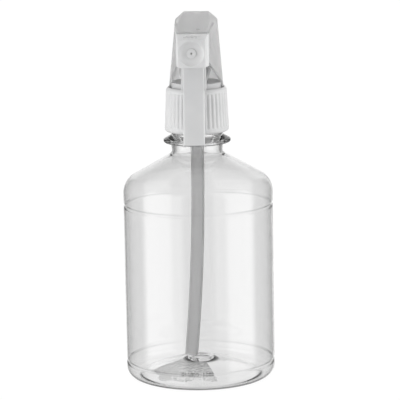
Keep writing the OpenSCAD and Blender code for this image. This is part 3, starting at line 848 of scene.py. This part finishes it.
def lever_bar():
    """The bent U bar, from its top edge down."""
    top = math.asin((TRIGGER_TOP - CURVE_Z) / CURVE_R)
    low = math.asin((TRIGGER_LOW - CURVE_Z) / CURVE_R)
    half, soft = TRIGGER_W / 2, 0.7
    front = arc((half - soft, soft), soft, -90, 0, 5)
    back = [(half, TRIGGER_T + FLANK - 0.3), (half - 0.3, TRIGGER_T + FLANK),
            (half - FLANK_T + 0.2, TRIGGER_T + FLANK), (half - FLANK_T, TRIGGER_T + FLANK - 0.2),
            (half - FLANK_T, TRIGGER_T + 0.5), (half - FLANK_T - 0.5, TRIGGER_T)]
    right = front + back
    section = right + [(-x, d) for x, d in reversed(right)]
    along = Vector((0, math.cos(top), math.sin(top)))
    centre = Vector((0, CURVE_Y, CURVE_Z))
    places = [centre + along * (CURVE_R + d) + Vector((x, 0, 0)) for x, d in section]
    obj = outline("lever", places)
    everything(obj)
    bpy.ops.mesh.edge_face_add()
    bpy.ops.mesh.spin(steps=36, angle=top - low, center=centre * MM, axis=(1, 0, 0))
    tidied(obj)
    wanted = sharp_edges(obj, 60)
    pick(obj, "EDGE", lambda p, e: e.index in wanted and (p.z > 157 or p.z < 122.5))
    bpy.ops.mesh.bevel(offset=0.3 * MM, segments=3)
    return tidied(obj, 30)


lever = lever_bar()
print("lever", [round(v / MM, 1) for v in lever.dimensions])


# %% Fork arms, bridge and pad
def fork_arm(side):
    foot = (CURVE_Y + CURVE_R + 1.2, TRIGGER_TOP - 4)
    head = arc((PIVOT_Y, PIVOT_Z), 3.2, 20, 180, 16)
    line = head + [(PIVOT_Y - 3.2, PIVOT_Z - 6), (foot[0] - 0.6, TRIGGER_TOP),
                   (foot[0] - 0.6, foot[1] - 8), (foot[0] + 3.0, foot[1] - 8),
                   (PIVOT_Y + 1.5, PUMP_Z + 4), (PIVOT_Y + 3.0, PIVOT_Z - 3)]
    low = side * FORK_IN if side > 0 else -FORK_IN - FORK_T
    arm = plate(f"arm_{side}", [(low, y, z) for y, z in line], (FORK_T, 0, 0))
    hole = turned("hole", [(0, -9), (TRUNNION_R + 0.05, -9), (TRUNNION_R + 0.05, 9), (0, 9)], 48,
                  "X", (0, PIVOT_Y, PIVOT_Z))
    cut(arm, hole)
    apply(arm, "BEVEL", width=0.2 * MM, segments=2, limit_method="ANGLE",
          angle_limit=math.radians(50))
    return arm


arms = [fork_arm(-1), fork_arm(1)]
bridge = block("bridge", (-FORK_IN - 0.1, -28.4, PUMP_Z - 1.5), (FORK_IN + 0.1, -22, PUMP_Z + 1.5))
apply(bridge, "BEVEL", width=0.3 * MM, segments=2)
pad = turned("pad", [(0, -4), (1.7, -4), (2, -3.7), (2, 3.7), (1.7, 4), (0, 4)], 40, "X",
             (0, PIVOT_Y, PUMP_Z))
lever.name = "trigger_lever"
trigger = joined(lever, *arms, bridge, pad)
tidied(trigger, 30, merge=0)
hand_over(trigger, "trigger", white_pp)

# %% [markdown]
# ## The dip tube
# A cut length of extruded tube always keeps some of the curl of its reel. A ring of points is
# spun a few degrees about a far-off centre for the bow, then its top is pulled up straight
# into the retainer, and a Solidify modifier gives it its wall.

# %% Dip tube
TUBE_R, TUBE_WALL, BEND_Z, TUBE_TOP = 3.2, 0.9, 103.4, 138.68
BOW_R, BOW_ANGLE = 969.462, 5.52264


def dip_tube():
    only(None)
    bpy.ops.mesh.primitive_circle_add(vertices=64, radius=TUBE_R * MM,
                                      location=(0, 0, BEND_Z * MM))
    obj = only(bpy.context.object)
    obj.name = obj.data.name = "dip_tube_soft"
    bpy.ops.object.transform_apply(location=True, rotation=True, scale=True)
    everything(obj)
    bpy.ops.mesh.spin(steps=40, angle=-math.radians(BOW_ANGLE), axis=(0, 1, 0),
                      center=(-BOW_R * MM, 0, BEND_Z * MM))
    pick(obj, "EDGE", lambda p, e: abs(p.z - BEND_Z) < 0.01 and abs(p.xy.length - TUBE_R) < 0.05)
    heights = [BEND_Z, BEND_Z + 8, BEND_Z + 16, BEND_Z + 24, TUBE_TOP]
    for low, high in zip(heights, heights[1:]):
        bpy.ops.mesh.extrude_region_move(
            TRANSFORM_OT_translate={"value": (0, 0, (high - low) * MM)})
    tidied(obj)
    apply(obj, "SOLIDIFY", thickness=TUBE_WALL * MM, offset=-1, use_even_offset=True)
    apply(obj, "BEVEL", width=0.12 * MM, segments=2, limit_method="ANGLE",
          angle_limit=math.radians(50))
    return tidied(obj, 40, merge=0)


tube = dip_tube()
print("tube", [round(v / MM, 1) for v in tube.dimensions], "lowest",
      round(min(v.co.z for v in tube.data.vertices) / MM, 1))
hand_over(tube, "dip_tube", milky_pe)

# %% [markdown]
# ## The pump
# What shows of the pump through the trigger's opening is its collar, cylinder and barrel. Their
# solids are exact, so a copy of each is merged, cleared of needless edges and given small
# rounded edges, which is quicker and truer than building them again.

# %% Softened copies
def softened(node, name, width=0.25, angle=40):
    """A free copy of a solid, with the edges sharper than an angle rounded by a width."""
    only(frame["nodes"][node])
    bpy.ops.object.duplicate()
    obj = only(bpy.context.object)
    obj.parent = None
    obj.name = obj.data.name = name
    for key in list(obj.keys()):
        del obj[key]
    everything(obj)
    bpy.ops.mesh.remove_doubles(threshold=0.002 * MM)
    bpy.ops.mesh.dissolve_limited(angle_limit=math.radians(0.5))
    apply(obj, "BEVEL", width=width * MM, segments=2, limit_method="ANGLE",
          angle_limit=math.radians(angle), use_clamp_overlap=True)
    return tidied(obj, 35, merge=0)


hand_over(softened("pump_body", "pump_housing", 0.2), "pump_body", core_pp)
hand_over(softened("piston", "piston_soft", 0.12), "piston", white_pp)
hand_over(softened("tube_retainer", "retainer_soft", 0.15), "tube_retainer", white_pp)

# %% [markdown]
# The two springs shorten as the piston and the valve move. Here each is a softened copy of its
# solid in spring steel, with a mesh of its own, riding rigidly on its body, so it keeps its length.

# %% Springs
def coil(node, name):
    """A spring: a softened copy of its solid in spring steel, on its body, with a mesh of its own."""
    obj = hand_over(softened(node, name, 0.02, 75), node, steel)
    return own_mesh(obj)


coil("return_spring", "return_coil")
coil("outlet_spring", "outlet_coil")

# %% [markdown]
# ## The hidden pieces
# Ball, seals and plugs keep their solids and get the finish of their material.

# %% Finishes for carried-over solids
KEPT = {"neck_gasket": seal_pe, "piston_seal": seal_pe, "vent_seal": seal_pe,
        "outlet_valve": seal_pe, "nozzle_seal": rubber, "inlet_ball": steel,
        "swirl_core": white_pp, "barrel_plug": white_pp}
for node, finish in KEPT.items():
    solid = frame["nodes"][node]
    solid.data.materials.clear()
    solid.data.materials.append(finish)
print("kept solids:", len(KEPT))

# %% [markdown]
# ## The floor
# The bottle stands on a pale sheet that mostly glows, as a light table lit from below does, so that
# no cast shadow falls on it; a painted shadow dims its glow under the bottle's foot. It is narrow
# near the camera and wide behind. The sheet's edges would draw hard lines in the clear wall, so
# it is hidden from reflections and from what is seen through plastic, and the surround stands in
# for it there.

# %% Floor
FLOOR_NEAR, FLOOR_FAR = 0.26, 0.56
only(None)
bpy.ops.mesh.primitive_plane_add(size=1, location=(0, 0.42, -0.0002))
floor = only(bpy.context.object)
floor.name = "floor"
bpy.ops.object.transform_apply(location=True, rotation=True, scale=True)
pick(floor, "EDGE", lambda p, e: p.y * MM > 0.9)
bpy.ops.transform.translate(value=(0, 0.85, 0))
bpy.ops.transform.resize(value=(FLOOR_FAR, 1, 1))
pick(floor, "EDGE", lambda p, e: p.y < 0)
bpy.ops.transform.resize(value=(FLOOR_NEAR, 1, 1))
only(floor)


def floor_finish():
    """Pale and glowing, with a painted shadow under the bottle's foot, where the glow is dimmed."""
    made, tree, shader = new_material("pale floor", (0.9, 0.9, 0.9), Roughness=0.8,
                                      Specular_IOR_Level=0.0)
    tree.links.new(shades(tree, noise(tree, 6, 2), (0.88, 0.88, 0.88), (0.92, 0.92, 0.92)),
                   shader.inputs["Base Color"])
    glow, mixer = tree.nodes.new("ShaderNodeEmission"), tree.nodes.new("ShaderNodeMixShader")
    glow.inputs["Color"].default_value = (1, 1, 1, 1)
    mixer.inputs["Fac"].default_value = 0.95
    place, away = tree.nodes.new("ShaderNodeTexCoord"), tree.nodes.new("ShaderNodeVectorMath")
    away.operation = "LENGTH"
    tree.links.new(place.outputs["Object"], away.inputs[0])
    # painted shadow under the bottle's foot: the glow eases from 0.6 within 16 mm of the centre up to
    # 1.04 beyond 36 mm
    tree.links.new(eased(tree, away.outputs["Value"], 0.016, 0.036, 0.6, 1.04),
                   glow.inputs["Strength"])
    tree.links.new(shader.outputs[0], mixer.inputs[1])
    tree.links.new(glow.outputs[0], mixer.inputs[2])
    tree.links.new(mixer.outputs[0], tree.nodes["Material Output"].inputs["Surface"])
    return made


floor.data.materials.append(floor_finish())
floor.visible_glossy = floor.visible_transmission = False

# %% [markdown]
# ## The surround
# Clear plastic shows its surroundings more than itself, so the look of the bottle is made here.
# A bright field behind shows through the middle of the body, a dull stretch on each side of it
# draws the grey lines at the edges, and the lighter sides give faint upright bands. The roof and
# the ground are dull: they tone the shroud's roof and the pushed-up base.

# %% World
# brightness by turn, from straight behind (0) past the left and the camera's side (a half)
ROUND = ((0.0, 0.62), (0.045, 0.62), (0.075, 0.2), (0.22, 0.2), (0.27, 0.95), (0.42, 0.85),
         (0.455, 0.16), (0.61, 0.16), (0.65, 0.85), (0.75, 0.9), (0.79, 0.2), (0.925, 0.2),
         (0.955, 0.62), (1.0, 0.62))
FIELD, ROOF, GROUND, SEEN = 1.5, 0.45, 0.3, 1.05


def surround():
    """The brightness all round by the angle (0 and 1 are straight behind, a half is the camera's
    side), blending into a duller roof and a dull ground; plain white where the camera sees it."""
    world = bpy.data.worlds.new("studio")
    world.use_nodes = True
    bpy.context.scene.world = world
    tree = world.node_tree
    nodes, links = tree.nodes, tree.links
    nodes.clear()

    def math_node(operation, *values):
        node = nodes.new("ShaderNodeMath")
        node.operation = operation
        for socket, value in zip(node.inputs, values):
            if isinstance(value, (int, float)):
                socket.default_value = value
            else:
                links.new(value, socket)
        return node.outputs[0]

    way, split = nodes.new("ShaderNodeTexCoord"), nodes.new("ShaderNodeSeparateXYZ")
    links.new(way.outputs["Generated"], split.inputs[0])
    towards = math_node("MULTIPLY", split.outputs["Y"], -1)
    angle = math_node("ARCTAN2", split.outputs["X"], towards)
    turn = math_node("MULTIPLY_ADD", angle, 0.5 / math.pi, 0.5)
    ramp = nodes.new("ShaderNodeValToRGB")
    ramp.color_ramp.interpolation = "EASE"
    stops = ramp.color_ramp.elements
    for i, (at, value) in enumerate(ROUND):
        stop = stops[i] if i < 2 else stops.new(at)
        stop.position, stop.color = at, (value, value, value, 1)
    links.new(turn, ramp.inputs["Fac"])
    blend = nodes.new("ShaderNodeMix")
    links.new(eased(tree, split.outputs["Z"], 0.45, 0.8, 0, 1), blend.inputs["Factor"])
    links.new(math_node("MULTIPLY", ramp.outputs["Color"], FIELD), blend.inputs["A"])
    blend.inputs["B"].default_value = ROOF
    ground = eased(tree, split.outputs["Z"], -0.7, -0.28, GROUND, 1)
    light, plain = nodes.new("ShaderNodeBackground"), nodes.new("ShaderNodeBackground")
    links.new(math_node("MULTIPLY", blend.outputs["Result"], ground), light.inputs["Strength"])
    for shader in (light, plain):
        shader.inputs["Color"].default_value = (1, 1, 1, 1)
    plain.inputs["Strength"].default_value = SEEN
    mixer, ray = nodes.new("ShaderNodeMixShader"), nodes.new("ShaderNodeLightPath")
    links.new(ray.outputs["Is Camera Ray"], mixer.inputs["Fac"])
    links.new(light.outputs[0], mixer.inputs[1])
    links.new(plain.outputs[0], mixer.inputs[2])
    out = nodes.new("ShaderNodeOutputWorld")
    links.new(mixer.outputs[0], out.inputs["Surface"])


surround()
print("surround with", len(ROUND), "steps of brightness")

# %% [markdown]
# ## Soft boxes
# Two soft boxes light the white pieces from the sides, and a low fill reaches into the trigger's
# opening. None of them is seen itself, in a reflection or through the plastic, where it would be
# a hard white square.

# %% Soft boxes
def soft_box(name, place, aim, wide, high, power):
    data = bpy.data.lights.new(name, "AREA")
    data.shape, data.size, data.size_y, data.energy = "RECTANGLE", wide, high, power
    lamp = bpy.data.objects.new(name, data)
    bpy.context.scene.collection.objects.link(lamp)
    lamp.visible_camera = lamp.visible_glossy = lamp.visible_transmission = False
    place, aim = Vector(place), Vector(aim)
    lamp.matrix_world = (Matrix.Translation(place)
                         @ (place - aim).to_track_quat("Z", "Y").to_matrix().to_4x4())
    return lamp


def round_about(azimuth, reach, height):
    """A place at an angle round the bottle, measured from the camera's side."""
    a = math.radians(azimuth + AZIMUTH)
    return (math.sin(a) * reach, -math.cos(a) * reach, height)


soft_box("left soft box", round_about(-96, 0.85, 0.28), (0, 0, 0.16), 0.6, 0.6, 2.1)
soft_box("right soft box", round_about(92, 0.85, 0.28), (0, 0, 0.16), 0.6, 0.6, 3.2)
soft_box("low fill", (-0.03, -0.3, 0.02), (0, 0, 0.155), 0.3, 0.12, 0.18)
bpy.context.scene.view_settings.view_transform = "Standard"
